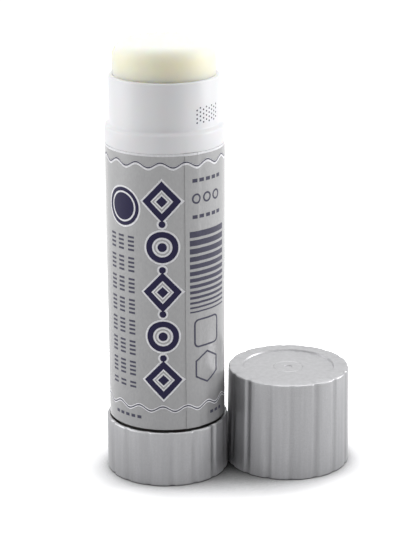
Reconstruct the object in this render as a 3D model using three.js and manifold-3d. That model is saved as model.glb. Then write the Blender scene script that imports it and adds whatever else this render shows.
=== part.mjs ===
// A twist-up glue stick, standing open on a table with its cap taken off beside it.
// Millimetres, +Z up. The origin is the centre of the twist knob's flat underside.
// Turning the knob turns the spindle, and its left-hand thread lifts the carrier and the glue.

import * as THREE from "three";
import { mergeVertices } from "three/addons/utils/BufferGeometryUtils.js";
import Module from "manifold-3d";

const wasm = await Module();
wasm.setup();

// Barrel
const BODY_RADIUS = 13.0;
const BODY_WALL = 1.85;
const NECK_WALL = 0.85;
const NECK_HEIGHT = 10.2;
const SHOULDER_HEIGHT = 0.9;
const SHOULDER_EDGE = 0.3;
const COLLAR_HEIGHT = 3.55;
const RIM_ROUNDING = 0.3;
const BARREL_FLOOR = 1.4;
const SPIGOT_STEP = 1.0;
const SPIGOT_LENGTH = 6.0;
const SPIGOT_WALL = 1.3;
const BODY_CHAMFER = 0.25;

// Guide ribs in the bore, which stop the carrier from turning
const RIB_COUNT = 2;
const RIB_AZIMUTH = 5.5;
const RIB_HEIGHT = 0.5;
const RIB_WIDTH = 1.2;
const RIB_BELOW_RIM = 2.0;

// Label
const LABEL_HEIGHT = 61.7;
const LABEL_THICKNESS = 0.18;
const LABEL_OVERLAP = 3.0;
const LABEL_LIFT_LENGTH = 1.5;
const LABEL_SEAM_AZIMUTH = -72;
const LABEL_GAP = 0.12;
const LABEL_EDGE_GAP = 0.15;

// Twist knob
const KNOB_HEIGHT = 13.0;
const KNOB_WALL = 1.3;
const KNOB_FLOOR = 1.5;
const KNOB_GAP = 0.6;
const KNOB_TURN = 3;
const KNOB_EDGE = 0.45;
const SNAP_DEPTH = 0.6;
const SNAP_WIDTH = 1.0;
const SNAP_RAMP = 0.3;
const SNAP_BELOW_RIM = 2.0;
const HUB_WALL = 1.4;
const KNOB_RIB_COUNT = 8;
const KNOB_RIB_THICKNESS = 1.0;
const KNOB_RIB_HEIGHT = 5.4;

// Upright grooves that the knob and the cap share
const GROOVE_COUNT = 16;
const GROOVE_ANGLE = 6.6;
const GROOVE_DEPTH = 0.25;

// Spindle
const THREAD_LEAD = 5.0;
const THREAD_CREST_RADIUS = 3.7;
const THREAD_ROOT_RADIUS = 2.7;
const THREAD_CREST_ANGLE = 90;
const THREAD_FLANK_ANGLE = 45;
const THREAD_STEPS_PER_TURN = 10;
const NUT_STEPS_PER_TURN = 20;
const SPINDLE_BELOW_RIM = 10.5;
const FLANGE_RADIUS = 7.5;
const FLANGE_THICKNESS = 1.2;
const JOURNAL_RADIUS = 3.65;
const HEX_HALF_WIDTH = 2.8;

// Carrier
const SKIRT_HEIGHT = 7.5;
const SKIRT_WALL = 1.0;
const CUP_FLOOR = 1.2;
const CUP_HEIGHT = 6.3;
const CUP_WALL = 0.9;
const CUP_LIP = 0.35;
const CUP_LIP_HEIGHT = 1.4;
const NUT_WALL = 1.5;
const NUT_SETBACK = 0.8;

// Glue
const GLUE_STAND = 7.6;
const GLUE_RETRACT = 1.4;
const GLUE_EDGE = 1.1;
const GLUE_CROWN = 0.25;
const CORE_WALL_GAP = 0.6;

// Cap
const CAP_HEIGHT = 22.4;
const CAP_WALL = 1.65;
const CAP_TOP_WALL = 1.3;
const CAP_DRAFT = 1.5;
const CAP_CORE_DRAFT = 0.9;
const CAP_EDGE = 0.5;
const CAP_RIM_WIDTH = 3.3;
const CAP_RECESS_DEPTH = 0.4;
const CAP_LEAD_IN = 0.4;
const CAP_BEAD_DEPTH = 0.15;
const CAP_BEAD_HEIGHT = 2.4;
const CAP_BEAD_WIDTH = 0.6;
const CAP_RIB_COUNT = 8;
const CAP_RIB_DEPTH = 0.7;
const CAP_RIB_THICKNESS = 0.9;
const CAP_HEADROOM = 0.4;
const CAP_GAP = 0.15;
const CAP_BEARING = 5.5;

// Clearances
const TURNING_GAP = 0.35;
const SEAT_GAP = 0.3;
const SLIDING_GAP = 0.3;
const THREAD_GAP = 0.45;
const THREAD_GAP_ANGLE = 24;

// Facets
const ROUND_STEPS = 60;
const EDGE_STEPS = 3;
const OVERCUT = 1.0;
const WELD = 1e-4;
const FULL_TURN = 2 * Math.PI;

// Levels and radii that follow from the sizes above
const boreRadius = BODY_RADIUS - BODY_WALL;
const neckRadius = boreRadius + NECK_WALL;
const spigotRadius = BODY_RADIUS - SPIGOT_STEP;
const labelSeatRadius = BODY_RADIUS - LABEL_THICKNESS - LABEL_GAP;
const bodyFoot = KNOB_HEIGHT + KNOB_GAP;
const spigotFoot = bodyFoot - SPIGOT_LENGTH;
const barrelFloorTop = bodyFoot;
const barrelFloorFoot = barrelFloorTop - BARREL_FLOOR;
const labelFoot = bodyFoot + BODY_CHAMFER + LABEL_EDGE_GAP;
const labelTop = labelFoot + LABEL_HEIGHT;
const collarFoot = labelTop + LABEL_EDGE_GAP;
const collarTop = collarFoot + COLLAR_HEIGHT;
const neckFoot = collarTop + SHOULDER_HEIGHT;
const rim = neckFoot + NECK_HEIGHT;

const knobCavityRadius = spigotRadius + TURNING_GAP;
const knobRadius = knobCavityRadius + KNOB_WALL;
const snapTop = KNOB_HEIGHT - SNAP_BELOW_RIM;
const snapFoot = snapTop - SNAP_WIDTH;
const hubTop = barrelFloorFoot - TURNING_GAP;

const journalHoleRadius = JOURNAL_RADIUS + TURNING_GAP;
const flangeFoot = barrelFloorTop + SEAT_GAP;
const flangeTop = flangeFoot + FLANGE_THICKNESS;
const spindleTop = rim - SPINDLE_BELOW_RIM;

const raised = GLUE_STAND + GLUE_RETRACT;
const carrierRadius = boreRadius - SLIDING_GAP;
const carrierFoot = flangeTop + SEAT_GAP + raised;
const cupFloorFoot = carrierFoot + SKIRT_HEIGHT;
const cupFloorTop = cupFloorFoot + CUP_FLOOR;
const cupTop = cupFloorTop + CUP_HEIGHT;
const cupRadius = carrierRadius - CUP_WALL;
const nutThreadRadius = THREAD_CREST_RADIUS + THREAD_GAP;
const nutRadius = nutThreadRadius + NUT_WALL;

const glueFoot = cupFloorTop + SEAT_GAP;
const glueTop = rim + GLUE_STAND;
const glueFootRadius = cupRadius - SEAT_GAP;
const coreRadius = THREAD_CREST_RADIUS + CORE_WALL_GAP;
const coreTop = spindleTop + raised + CORE_WALL_GAP;

const capMouthRadius = neckRadius + TURNING_GAP;
const capFootRadius = capMouthRadius + CAP_WALL;
const capSlope = Math.tan(THREE.MathUtils.degToRad(CAP_DRAFT));
const capCoreSlope = Math.tan(THREE.MathUtils.degToRad(CAP_CORE_DRAFT));
const capTopRadius = capFootRadius - CAP_HEIGHT * capSlope;
const capRecessRadius = capTopRadius - CAP_RIM_WIDTH;
const capCeiling = CAP_HEIGHT - CAP_RECESS_DEPTH - CAP_TOP_WALL;
const capDistance = knobRadius + capFootRadius + CAP_GAP;

// A closed mesh as a solid that can be joined and cut
function toSolid(geometry) {
  const bare = geometry.clone();
  bare.deleteAttribute("normal");
  bare.deleteAttribute("uv");
  const merged = mergeVertices(bare, WELD);
  const corners = merged.index.array;
  const kept = [];
  for (let i = 0; i < corners.length; i += 3) {
    const [a, b, c] = corners.slice(i, i + 3);
    if (a !== b && b !== c && c !== a) kept.push(a, b, c);
  }
  const vertProperties = Float32Array.from(merged.attributes.position.array);
  const triVerts = Uint32Array.from(kept);
  return new wasm.Manifold(new wasm.Mesh({ numProp: 3, vertProperties, triVerts }));
}

function toGeometry(solid) {
  const mesh = solid.getMesh();
  const geometry = new THREE.BufferGeometry();
  geometry.setAttribute("position", new THREE.BufferAttribute(mesh.vertProperties, mesh.numProp));
  geometry.setIndex(new THREE.BufferAttribute(mesh.triVerts, 1));
  geometry.computeVertexNormals();
  return geometry;
}

// A turned solid about +Z, from an outline of [radius, height] pairs
function turned(outline, steps = ROUND_STEPS) {
  const points = outline.map(([radius, height]) => new THREE.Vector2(radius, height));
  const geometry = new THREE.LatheGeometry(points, steps);
  geometry.rotateX(Math.PI / 2);
  return toSolid(geometry);
}

// A solid skinned through rings of equal length, closed by a point at each end
function skinned(startPoint, rings, endPoint) {
  const count = rings[0].length;
  const positions = [startPoint, ...rings.flat(), endPoint].flatMap((point) => point.toArray());
  const index = [];
  const at = (ring, i) => 1 + ring * count + (i % count);
  const last = 1 + rings.length * count;
  for (let i = 0; i < count; i += 1) {
    index.push(0, at(0, i + 1), at(0, i));
    for (let ring = 0; ring + 1 < rings.length; ring += 1) {
      index.push(at(ring, i), at(ring, i + 1), at(ring + 1, i + 1));
      index.push(at(ring, i), at(ring + 1, i + 1), at(ring + 1, i));
    }
    index.push(last, at(rings.length - 1, i), at(rings.length - 1, i + 1));
  }
  const geometry = new THREE.BufferGeometry();
  geometry.setAttribute("position", new THREE.Float32BufferAttribute(positions, 3));
  geometry.setIndex(index);
  return toSolid(geometry);
}

// A flat upright blade that runs outwards from the axis, between two radii and two levels
function blade(innerRadius, outerRadius, thickness, foot, top, azimuth) {
  const geometry = new THREE.BoxGeometry(outerRadius - innerRadius, thickness, top - foot);
  geometry.translate((innerRadius + outerRadius) / 2, 0, (foot + top) / 2);
  geometry.rotateZ(THREE.MathUtils.degToRad(azimuth));
  return toSolid(geometry);
}

function aroundAxis(count, firstAzimuth, makeOne) {
  return Array.from({ length: count }, (_, i) => makeOne(firstAzimuth + (360 * i) / count));
}

function joined(solid, additions) {
  return additions.reduce((sum, addition) => sum.add(addition), solid);
}

function cut(solid, cutters) {
  return cutters.reduce((rest, cutter) => rest.subtract(cutter), solid);
}

// One level ring of the knob or the cap: round lands with a shallow groove between them
function groovedRing(radius, height, turn, depth = GROOVE_DEPTH) {
  const pitch = 360 / GROOVE_COUNT;
  const half = GROOVE_ANGLE / 2;
  const stops = [
    [-half / 3, depth],
    [half / 3, depth],
    [half, 0],
    [pitch / 2, 0],
    [pitch - half, 0],
  ];
  return aroundAxis(GROOVE_COUNT, turn, (azimuth) =>
    stops.map(([offset, drop]) => {
      const angle = THREE.MathUtils.degToRad(azimuth + offset);
      const reach = radius - drop;
      return new THREE.Vector3(reach * Math.cos(angle), reach * Math.sin(angle), height);
    }),
  ).flat();
}

// The same number of points on a plain circle, so that it skins to a grooved ring
function plainRing(radius, height, turn) {
  return groovedRing(radius, height, turn, 0);
}

// The thread's section: a crest, two flanks and a root, as [angle, radius] pairs
function threadSection(crestRadius, rootRadius, widening, crestSteps, rootSteps) {
  const crestHalf = THREAD_CREST_ANGLE / 2 + widening;
  const rootStart = crestHalf + THREAD_FLANK_ANGLE;
  const crest = Array.from({ length: crestSteps + 1 }, (_, k) => [
    crestHalf * ((2 * k) / crestSteps - 1),
    crestRadius,
  ]);
  const root = Array.from({ length: rootSteps + 1 }, (_, k) => [
    rootStart + ((360 - 2 * rootStart) * k) / rootSteps,
    rootRadius,
  ]);
  return [...crest, ...root];
}

// A left-hand screw between two levels, with its crest at azimuth 0 at the height 0
function screw(section, foot, top, stepsPerTurn) {
  const steps = Math.ceil(((top - foot) * stepsPerTurn) / THREAD_LEAD);
  const rings = [];
  for (let step = 0; step <= steps; step += 1) {
    const height = foot + ((top - foot) * step) / steps;
    const twist = (-360 * height) / THREAD_LEAD;
    rings.push(
      section.map(([angle, radius]) => {
        const azimuth = THREE.MathUtils.degToRad(angle + twist);
        return new THREE.Vector3(radius * Math.cos(azimuth), radius * Math.sin(azimuth), height);
      }),
    );
  }
  return skinned(new THREE.Vector3(0, 0, foot), rings, new THREE.Vector3(0, 0, top));
}

function hexagon(halfWidth, foot, top) {
  const cornerRadius = halfWidth / Math.cos(Math.PI / 6);
  const geometry = new THREE.CylinderGeometry(cornerRadius, cornerRadius, top - foot, 6);
  geometry.rotateX(Math.PI / 2);
  geometry.translate(0, 0, (foot + top) / 2);
  return toSolid(geometry);
}

// A quarter round between a side wall and a face, as outline points from the start angle
function quarterRound(centreRadius, centreHeight, size, startDegrees) {
  return Array.from({ length: EDGE_STEPS + 1 }, (_, i) => {
    const angle = THREE.MathUtils.degToRad(startDegrees + (90 * i) / EDGE_STEPS);
    return [centreRadius + size * Math.cos(angle), centreHeight + size * Math.sin(angle)];
  });
}

// Slots that let a sliding piece pass the ribs of the bore
function ribSlots(foot, top) {
  const slotFloor = boreRadius - RIB_HEIGHT - SLIDING_GAP;
  return aroundAxis(RIB_COUNT, RIB_AZIMUTH, (azimuth) =>
    blade(slotFloor, BODY_RADIUS, RIB_WIDTH + 2 * SLIDING_GAP, foot - OVERCUT, top + OVERCUT, azimuth),
  );
}

// Barrel: spigot for the knob, label seat, collar, shoulder, neck and guide ribs
function makeBarrel() {
  const grooveRadius = spigotRadius - SNAP_DEPTH;
  const shell = turned([
    [journalHoleRadius, barrelFloorFoot],
    [spigotRadius - SPIGOT_WALL, barrelFloorFoot],
    [spigotRadius - SPIGOT_WALL, spigotFoot],
    [spigotRadius - BODY_CHAMFER, spigotFoot],
    [spigotRadius, spigotFoot + BODY_CHAMFER],
    [spigotRadius, snapFoot - SEAT_GAP],
    [grooveRadius, snapFoot - SEAT_GAP],
    [grooveRadius, snapTop + SEAT_GAP],
    [spigotRadius, snapTop + SEAT_GAP],
    [spigotRadius, bodyFoot],
    [labelSeatRadius - BODY_CHAMFER, bodyFoot],
    [labelSeatRadius, bodyFoot + BODY_CHAMFER],
    [labelSeatRadius, collarFoot],
    [BODY_RADIUS, collarFoot],
    [BODY_RADIUS, collarTop],
    [BODY_RADIUS - SHOULDER_EDGE, collarTop + SHOULDER_EDGE / 2],
    [neckRadius, neckFoot],
    ...quarterRound(neckRadius - RIM_ROUNDING, rim - RIM_ROUNDING, RIM_ROUNDING, 0),
    [boreRadius + RIM_ROUNDING, rim],
    [boreRadius, rim - RIM_ROUNDING],
    [boreRadius, barrelFloorTop],
    [journalHoleRadius, barrelFloorTop],
    [journalHoleRadius, barrelFloorFoot],
  ]);
  const ribs = aroundAxis(RIB_COUNT, RIB_AZIMUTH, (azimuth) =>
    blade(
      boreRadius - RIB_HEIGHT,
      boreRadius + NECK_WALL / 2,
      RIB_WIDTH,
      barrelFloorTop - BARREL_FLOOR / 2,
      rim - RIB_BELOW_RIM,
      azimuth,
    ),
  );
  return joined(shell, ribs);
}

// Label: a film wrapped once round its seat, with its end lapped over its start
function makeLabel() {
  const inner = labelSeatRadius + LABEL_GAP;
  const lapAngle = LABEL_OVERLAP / inner;
  const liftAngle = LABEL_LIFT_LENGTH / inner;
  const plainAngle = FULL_TURN - liftAngle;
  const stops = Array.from({ length: ROUND_STEPS + 1 }, (_, i) => (plainAngle * i) / ROUND_STEPS);
  stops.push(FULL_TURN, FULL_TURN + lapAngle / 2, FULL_TURN + lapAngle);
  const lift = (angle) => (angle < FULL_TURN ? 0 : LABEL_THICKNESS + LABEL_GAP / 2);
  const start = THREE.MathUtils.degToRad(LABEL_SEAM_AZIMUTH) + lapAngle;
  const place = (radius, angle) =>
    new THREE.Vector2(radius * Math.cos(start - angle), radius * Math.sin(start - angle));
  const under = stops.map((angle) => place(inner + lift(angle), angle));
  const over = stops.map((angle) => place(inner + LABEL_THICKNESS + lift(angle), angle));
  const strip = new THREE.Shape([...under, ...over.reverse()]);
  const geometry = new THREE.ExtrudeGeometry(strip, { depth: LABEL_HEIGHT, bevelEnabled: false });
  geometry.translate(0, 0, labelFoot);
  return toSolid(geometry);
}

// Twist knob: grooved cup with a snap bead, floor ribs and a hexagonal socket in its hub
function makeTwistKnob() {
  const ring = (radius, height) => plainRing(radius, height, KNOB_TURN);
  const grooved = ([radius, height]) => groovedRing(radius, height, KNOB_TURN);
  const cup = skinned(
    new THREE.Vector3(0, 0, 0),
    [
      grooved([knobRadius - KNOB_EDGE, 0]),
      grooved([knobRadius, KNOB_EDGE]),
      ...quarterRound(knobRadius - KNOB_EDGE, KNOB_HEIGHT - KNOB_EDGE, KNOB_EDGE, 0).map(grooved),
      ring(knobCavityRadius, KNOB_HEIGHT),
      ring(knobCavityRadius, snapTop),
      ring(knobCavityRadius - SNAP_DEPTH, snapTop - SNAP_RAMP),
      ring(knobCavityRadius - SNAP_DEPTH, snapFoot + SNAP_RAMP),
      ring(knobCavityRadius, snapFoot),
      ring(knobCavityRadius, KNOB_FLOOR),
    ],
    new THREE.Vector3(0, 0, KNOB_FLOOR),
  );
  const socketHalfWidth = HEX_HALF_WIDTH + SEAT_GAP;
  const hubRadius = socketHalfWidth / Math.cos(Math.PI / 6) + HUB_WALL;
  const hubFoot = KNOB_FLOOR / 2;
  const hub = turned(
    [
      [0, hubFoot],
      [hubRadius, hubFoot],
      [hubRadius, hubTop],
      [0, hubTop],
    ],
    ROUND_STEPS / 2,
  );
  const floorRibs = aroundAxis(KNOB_RIB_COUNT, 0, (azimuth) =>
    blade(
      socketHalfWidth + HUB_WALL,
      knobCavityRadius + KNOB_WALL / 2,
      KNOB_RIB_THICKNESS,
      hubFoot,
      KNOB_FLOOR + KNOB_RIB_HEIGHT,
      azimuth,
    ),
  );
  const socket = hexagon(socketHalfWidth, KNOB_FLOOR, hubTop + OVERCUT);
  return joined(cup, [hub, ...floorRibs]).subtract(socket);
}

// Spindle: hexagonal key, round journal, seating flange and coarse left-hand thread
function makeSpindle() {
  const key = hexagon(HEX_HALF_WIDTH, KNOB_FLOOR + SEAT_GAP, flangeFoot);
  const collar = turned(
    [
      [0, barrelFloorFoot],
      [JOURNAL_RADIUS, barrelFloorFoot],
      [JOURNAL_RADIUS, flangeFoot],
      [FLANGE_RADIUS, flangeFoot],
      [FLANGE_RADIUS, flangeTop],
      [THREAD_CREST_RADIUS, flangeTop],
      [THREAD_ROOT_RADIUS, flangeTop + SEAT_GAP],
      [0, flangeTop + SEAT_GAP],
    ],
    ROUND_STEPS / 2,
  );
  const section = threadSection(THREAD_CREST_RADIUS, THREAD_ROOT_RADIUS, 0, 3, 5);
  const threadFoot = flangeTop - FLANGE_THICKNESS / 2;
  return joined(collar, [key, screw(section, threadFoot, spindleTop, THREAD_STEPS_PER_TURN)]);
}

// Carrier: cup for the glue's foot, guide skirt, and a nut in its hub
function makeCarrier() {
  const body = turned([
    [0, carrierFoot + NUT_SETBACK],
    [nutRadius, carrierFoot + NUT_SETBACK],
    [nutRadius, cupFloorFoot],
    [carrierRadius - SKIRT_WALL, cupFloorFoot],
    [carrierRadius - SKIRT_WALL, carrierFoot],
    [carrierRadius, carrierFoot],
    [carrierRadius, cupTop],
    [cupRadius - CUP_LIP, cupTop],
    [cupRadius - CUP_LIP, cupTop - CUP_LIP_HEIGHT],
    [cupRadius, cupTop - CUP_LIP_HEIGHT - CUP_LIP],
    [cupRadius, cupFloorTop],
    [0, cupFloorTop],
  ]);
  const nutRootRadius = THREAD_ROOT_RADIUS + THREAD_GAP;
  const section = threadSection(nutThreadRadius, nutRootRadius, THREAD_GAP_ANGLE, 4, 6);
  const thread = screw(section, carrierFoot - OVERCUT, cupFloorTop + OVERCUT, NUT_STEPS_PER_TURN);
  return cut(body, [thread, ...ribSlots(carrierFoot, cupTop)]);
}

// Glue: a cast column keyed under the cup's lip, hollow round the spindle
function makeGlue() {
  const waistRadius = glueFootRadius - CUP_LIP;
  const waistFoot = cupTop - CUP_LIP_HEIGHT - CUP_LIP - SEAT_GAP;
  const columnFoot = cupTop + SEAT_GAP;
  const column = turned([
    [0, coreTop],
    [coreRadius, coreTop - SEAT_GAP],
    [coreRadius, glueFoot],
    [glueFootRadius, glueFoot],
    [glueFootRadius, waistFoot],
    [waistRadius, waistFoot + CUP_LIP],
    [waistRadius, columnFoot],
    [carrierRadius, columnFoot],
    ...quarterRound(carrierRadius - GLUE_EDGE, glueTop - GLUE_EDGE - GLUE_CROWN, GLUE_EDGE, 0),
    [0, glueTop],
  ]);
  return cut(column, ribSlots(columnFoot, glueTop));
}

// Cap: drafted grooved shell with a recessed top, a grip bead and stop ribs for the rim
function makeCap() {
  const innerRadius = (height) => capMouthRadius - height * capCoreSlope;
  const outerRadius = (height) => capFootRadius - height * capSlope;
  const plain = ([radius, height]) => plainRing(radius, height, 0);
  const grooved = ([radius, height]) => groovedRing(radius, height, 0);
  const beadFoot = CAP_BEAD_HEIGHT - CAP_BEAD_WIDTH / 2;
  const beadTop = CAP_BEAD_HEIGHT + CAP_BEAD_WIDTH / 2;
  const outside = [
    [outerRadius(0) - CAP_LEAD_IN / 2, 0],
    [outerRadius(CAP_LEAD_IN), CAP_LEAD_IN / 2],
    ...quarterRound(capTopRadius - CAP_EDGE, CAP_HEIGHT - CAP_EDGE, CAP_EDGE, 0),
  ];
  const top = [
    [capRecessRadius, CAP_HEIGHT],
    [capRecessRadius - CAP_RECESS_DEPTH / 2, CAP_HEIGHT - CAP_RECESS_DEPTH],
  ];
  const inside = [
    [innerRadius(capCeiling), capCeiling],
    [innerRadius(beadTop), beadTop],
    [innerRadius(CAP_BEAD_HEIGHT) - CAP_BEAD_DEPTH, CAP_BEAD_HEIGHT],
    [innerRadius(beadFoot), beadFoot],
    [innerRadius(CAP_LEAD_IN), CAP_LEAD_IN],
    [capMouthRadius + CAP_LEAD_IN, 0],
  ];
  const shell = skinned(
    new THREE.Vector3(0, 0, capCeiling),
    [...inside.map(plain), ...outside.map(grooved), ...top.map(plain)],
    new THREE.Vector3(0, 0, CAP_HEIGHT - CAP_RECESS_DEPTH),
  );
  const ribFoot = NECK_HEIGHT + SHOULDER_HEIGHT + CAP_HEADROOM;
  const stopRibs = aroundAxis(CAP_RIB_COUNT, 180 / GROOVE_COUNT, (azimuth) =>
    blade(
      innerRadius(capCeiling) - CAP_RIB_DEPTH,
      innerRadius(capCeiling) + CAP_WALL / 2,
      CAP_RIB_THICKNESS,
      ribFoot,
      capCeiling + CAP_TOP_WALL / 2,
      azimuth,
    ),
  );
  return joined(shell, stopRibs);
}

// Finishes, from the photograph
const whitePlastic = { color: 0xeeeeec, roughness: 0.38, metalness: 0 };
const greyPlastic = { color: 0xa6a7a8, roughness: 0.42, metalness: 0 };
const silverFilm = { color: 0xb4b3ae, roughness: 0.4, metalness: 0.35 };
const creamGlue = { color: 0xeee9d3, roughness: 0.55, metalness: 0 };

function named(name, solid, finish) {
  const mesh = new THREE.Mesh(toGeometry(solid), new THREE.MeshStandardMaterial(finish));
  mesh.name = name;
  return mesh;
}

// Assembly: what stays still, what turns, what climbs, and the cap beside the stick
const body = new THREE.Group();
body.add(named("barrel", makeBarrel(), whitePlastic));
body.add(named("label", makeLabel(), silverFilm));

const drive = new THREE.Group();
drive.add(named("twist_knob", makeTwistKnob(), greyPlastic));
drive.add(named("spindle", makeSpindle(), whitePlastic));

const lift = new THREE.Group();
lift.add(named("carrier", makeCarrier(), whitePlastic));
lift.add(named("glue", makeGlue(), creamGlue));

const cap = named("cap", makeCap(), greyPlastic);
const bearing = THREE.MathUtils.degToRad(CAP_BEARING);
cap.position.set(capDistance * Math.cos(bearing), capDistance * Math.sin(bearing), 0);

const glueStick = new THREE.Group();
glueStick.add(body, drive, lift, cap);

export default glueStick;
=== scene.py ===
# A twist-up glue stick, standing open with its cap beside it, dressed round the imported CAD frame.
import math

import bpy
from bpy.props import FloatProperty, FloatVectorProperty, IntProperty, PointerProperty
from mathutils import Matrix, Vector


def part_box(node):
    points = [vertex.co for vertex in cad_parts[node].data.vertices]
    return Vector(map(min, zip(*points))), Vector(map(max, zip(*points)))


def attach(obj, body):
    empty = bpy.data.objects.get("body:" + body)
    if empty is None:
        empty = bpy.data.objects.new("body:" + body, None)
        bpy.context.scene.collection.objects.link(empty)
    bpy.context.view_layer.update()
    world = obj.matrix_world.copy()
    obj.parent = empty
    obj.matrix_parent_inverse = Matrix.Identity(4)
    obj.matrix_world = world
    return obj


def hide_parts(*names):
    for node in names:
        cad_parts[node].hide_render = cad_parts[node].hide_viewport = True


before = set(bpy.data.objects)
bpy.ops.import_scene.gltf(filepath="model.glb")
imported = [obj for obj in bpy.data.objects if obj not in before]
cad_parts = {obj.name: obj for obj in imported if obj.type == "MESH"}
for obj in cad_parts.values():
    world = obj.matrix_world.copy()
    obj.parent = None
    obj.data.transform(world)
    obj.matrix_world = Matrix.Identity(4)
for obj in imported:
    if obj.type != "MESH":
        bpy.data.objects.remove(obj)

bl_info = {
    "name": "Glue Stick",
    "version": (1, 0, 0),
    "blender": (4, 5, 0),
    "location": "View3D > Sidebar > Glue Stick",
    "description": "Builds the moulded, printed and cast pieces of a twist-up glue stick",
    "category": "Object",
}

MM = 0.001
FULL_TURN = 2 * math.pi
WELD = 0.002 * MM

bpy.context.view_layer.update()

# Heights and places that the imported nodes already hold
KNOB_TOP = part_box("twist_knob")[1].z
BARREL_FOOT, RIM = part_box("barrel")[0].z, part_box("barrel")[1].z
LABEL_FOOT, LABEL_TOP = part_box("label")[0].z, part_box("label")[1].z
GLUE_FOOT, GLUE_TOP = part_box("glue")[0].z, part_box("glue")[1].z - 0.001 * MM
CAP_LOW, CAP_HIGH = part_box("cap")
CAP_AXIS = (CAP_LOW + CAP_HIGH) / 2 - Vector((0.1 * MM, 0, 0))

# Turn that stands a flat primitive up in the XZ plane, facing the front
UPRIGHT = (math.pi / 2, 0, 0)

# Facets
ROUND_STEPS = 192
GROOVE_PITCH_STEPS = 20
CORNER_STEPS = 5
CREASE_ANGLE = math.radians(34)

# Barrel levels and small forms; the shoulder's slope is in degrees
BODY_RADIUS = 13.0 * MM
FLOOR_TOP = KNOB_TOP + 0.6 * MM
BODY_FOOT = FLOOR_TOP - 0.3 * MM
FLOOR_FOOT = FLOOR_TOP - 1.4 * MM
JOURNAL_HOLE_RADIUS = 4.0 * MM
SPIGOT_RADIUS = 12.0 * MM
SPIGOT_BORE_RADIUS = 10.7 * MM
SNAP_GROOVE_DEPTH = 0.6 * MM
SNAP_GROOVE_FOOT = 9.7 * MM
SNAP_GROOVE_TOP = 11.3 * MM
SHADOW_GROOVE_FOOT = FLOOR_TOP - 0.9 * MM
SHADOW_GROOVE_DEPTH = 0.5 * MM
LABEL_SEAT_DEPTH = 0.2 * MM
BODY_CHAMFER = 0.25 * MM
COLLAR_HEIGHT = 3.55 * MM
COLLAR_GAP = 0.02 * MM
COLLAR_LIP = 0.08 * MM
COLLAR_EDGE = 0.55 * MM
SHOULDER_SLOPE = 65
SHOULDER_RISE = 1.1 * MM
SHOULDER_FILLET = 0.5 * MM
RIM_ROUNDING = 0.36 * MM
RIM_MOUTH_ROUNDING = 0.06 * MM
GUIDE_AZIMUTHS = (math.radians(5.5), math.radians(5.5) + math.pi)
GUIDE_HEIGHT = 0.5 * MM
GUIDE_WIDTH = 1.2 * MM
GUIDE_BELOW_RIM = 2.0 * MM
GUIDE_EDGE = 0.15 * MM
GUIDE_FOOT = FLOOR_TOP - 0.5 * MM

# How far a rib is sunk into the wall that it stands on, and the break of a sharp moulded edge
SINK = 0.3 * MM
EDGE_BREAK = 0.05 * MM

# Knob
KNOB_RIM = KNOB_TOP - 0.3 * MM
KNOB_FLOOR = 1.5 * MM
KNOB_TURN = math.radians(3)
KNOB_EDGE = 0.45 * MM
KNOB_MOUTH_CHAMFER = 0.7 * MM
KNOB_FOOT_RECESS = 0.4 * MM
KNOB_FOOT_WIDTH = 2.4 * MM
SNAP_BEAD_DEPTH = 0.6 * MM
SNAP_BEAD_FOOT = KNOB_TOP - 3 * MM
SNAP_BEAD_TOP = KNOB_TOP - 2 * MM
SNAP_BEAD_SLOPE = 0.3 * MM
HUB_TOP = 11.85 * MM
HUB_RADIUS = 4.98 * MM
SOCKET_HALF_WIDTH = 3.1 * MM
KNOB_RIB_COUNT = 8
KNOB_RIB_THICKNESS = 1.0 * MM
KNOB_RIB_TOP = 6.9 * MM
KNOB_RIB_EDGE = 0.12 * MM

# Grooves of the knob and the cap: how many, how dark the darkest colour in them is, and how
# far each is darkened
GROOVE_COUNT = 16
GROOVE_TONE = 0.91
KNOB_GROOVE_DARKENING = 0.3
CAP_GROOVE_DARKENING = 1.0

# Glue
GLUE_SHOULDER = 39.7 * MM
GLUE_WAIST_RADIUS = 9.3 * MM
GLUE_PLUG_RADIUS = 9.65 * MM
GLUE_CORE_RADIUS = 4.3 * MM
GLUE_WAIST_HEIGHT = 2.0 * MM
GLUE_WAIST_SLOPE = 0.35 * MM
GLUE_FOOT_EDGE = 0.15 * MM
GLUE_SIDE_LOOP = 4 * MM
GLUE_DOME_STEPS = (0.12, 0.25, 0.4, 0.6, 0.8, 1.0)
GLUE_CORE_TOP = 89.6 * MM
GLUE_CORE_EDGE = 0.3 * MM
# Heights over which the glue turns paler towards its top: painted light
GLUE_PAINTED_LIGHT_FOOT = GLUE_TOP - 3.4 * MM
GLUE_PAINTED_LIGHT_FULL = GLUE_TOP - 0.8 * MM
CHANNEL_FLOOR_RADIUS = 10.35 * MM
CHANNEL_WIDTH = 1.6 * MM
CHANNEL_EDGE = 0.1 * MM

# Cap
CAP_WALL = 1.65 * MM
CAP_TOP_WALL = 1.3 * MM
CAP_DRAFT = math.radians(0.95)
CAP_CORE_DRAFT = math.radians(0.9)
CAP_FOOT_EDGE = 0.4 * MM
CAP_RIM_WIDTH = 3.3 * MM
CAP_LEAD_IN = 0.4 * MM
CAP_BEAD_HEIGHT = 2.4 * MM
CAP_BEAD_DEPTH = 0.15 * MM
CAP_BEAD_WIDTH = 0.6 * MM
CAP_RIB_COUNT = 8
CAP_RIB_DEPTH = 0.7 * MM
CAP_RIB_THICKNESS = 0.9 * MM
CAP_RIB_FOOT = 11.5 * MM
CAP_RIB_EDGE = 0.15 * MM
CAP_RIB_SINK = 0.4 * MM
CAP_CEILING_EDGE = 0.3 * MM
RECESS_EDGE = 0.06 * MM
RECESS_DRAFT = 0.12 * MM
GATE_RADIUS = 0.9 * MM
GATE_DEPTH = 0.15 * MM
GATE_SLOPE = 0.12 * MM
GATE_RING_RADIUS = 3.3 * MM
GATE_RING_WIDTH = 0.1 * MM
GATE_RING_DEPTH = 0.07 * MM

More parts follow.
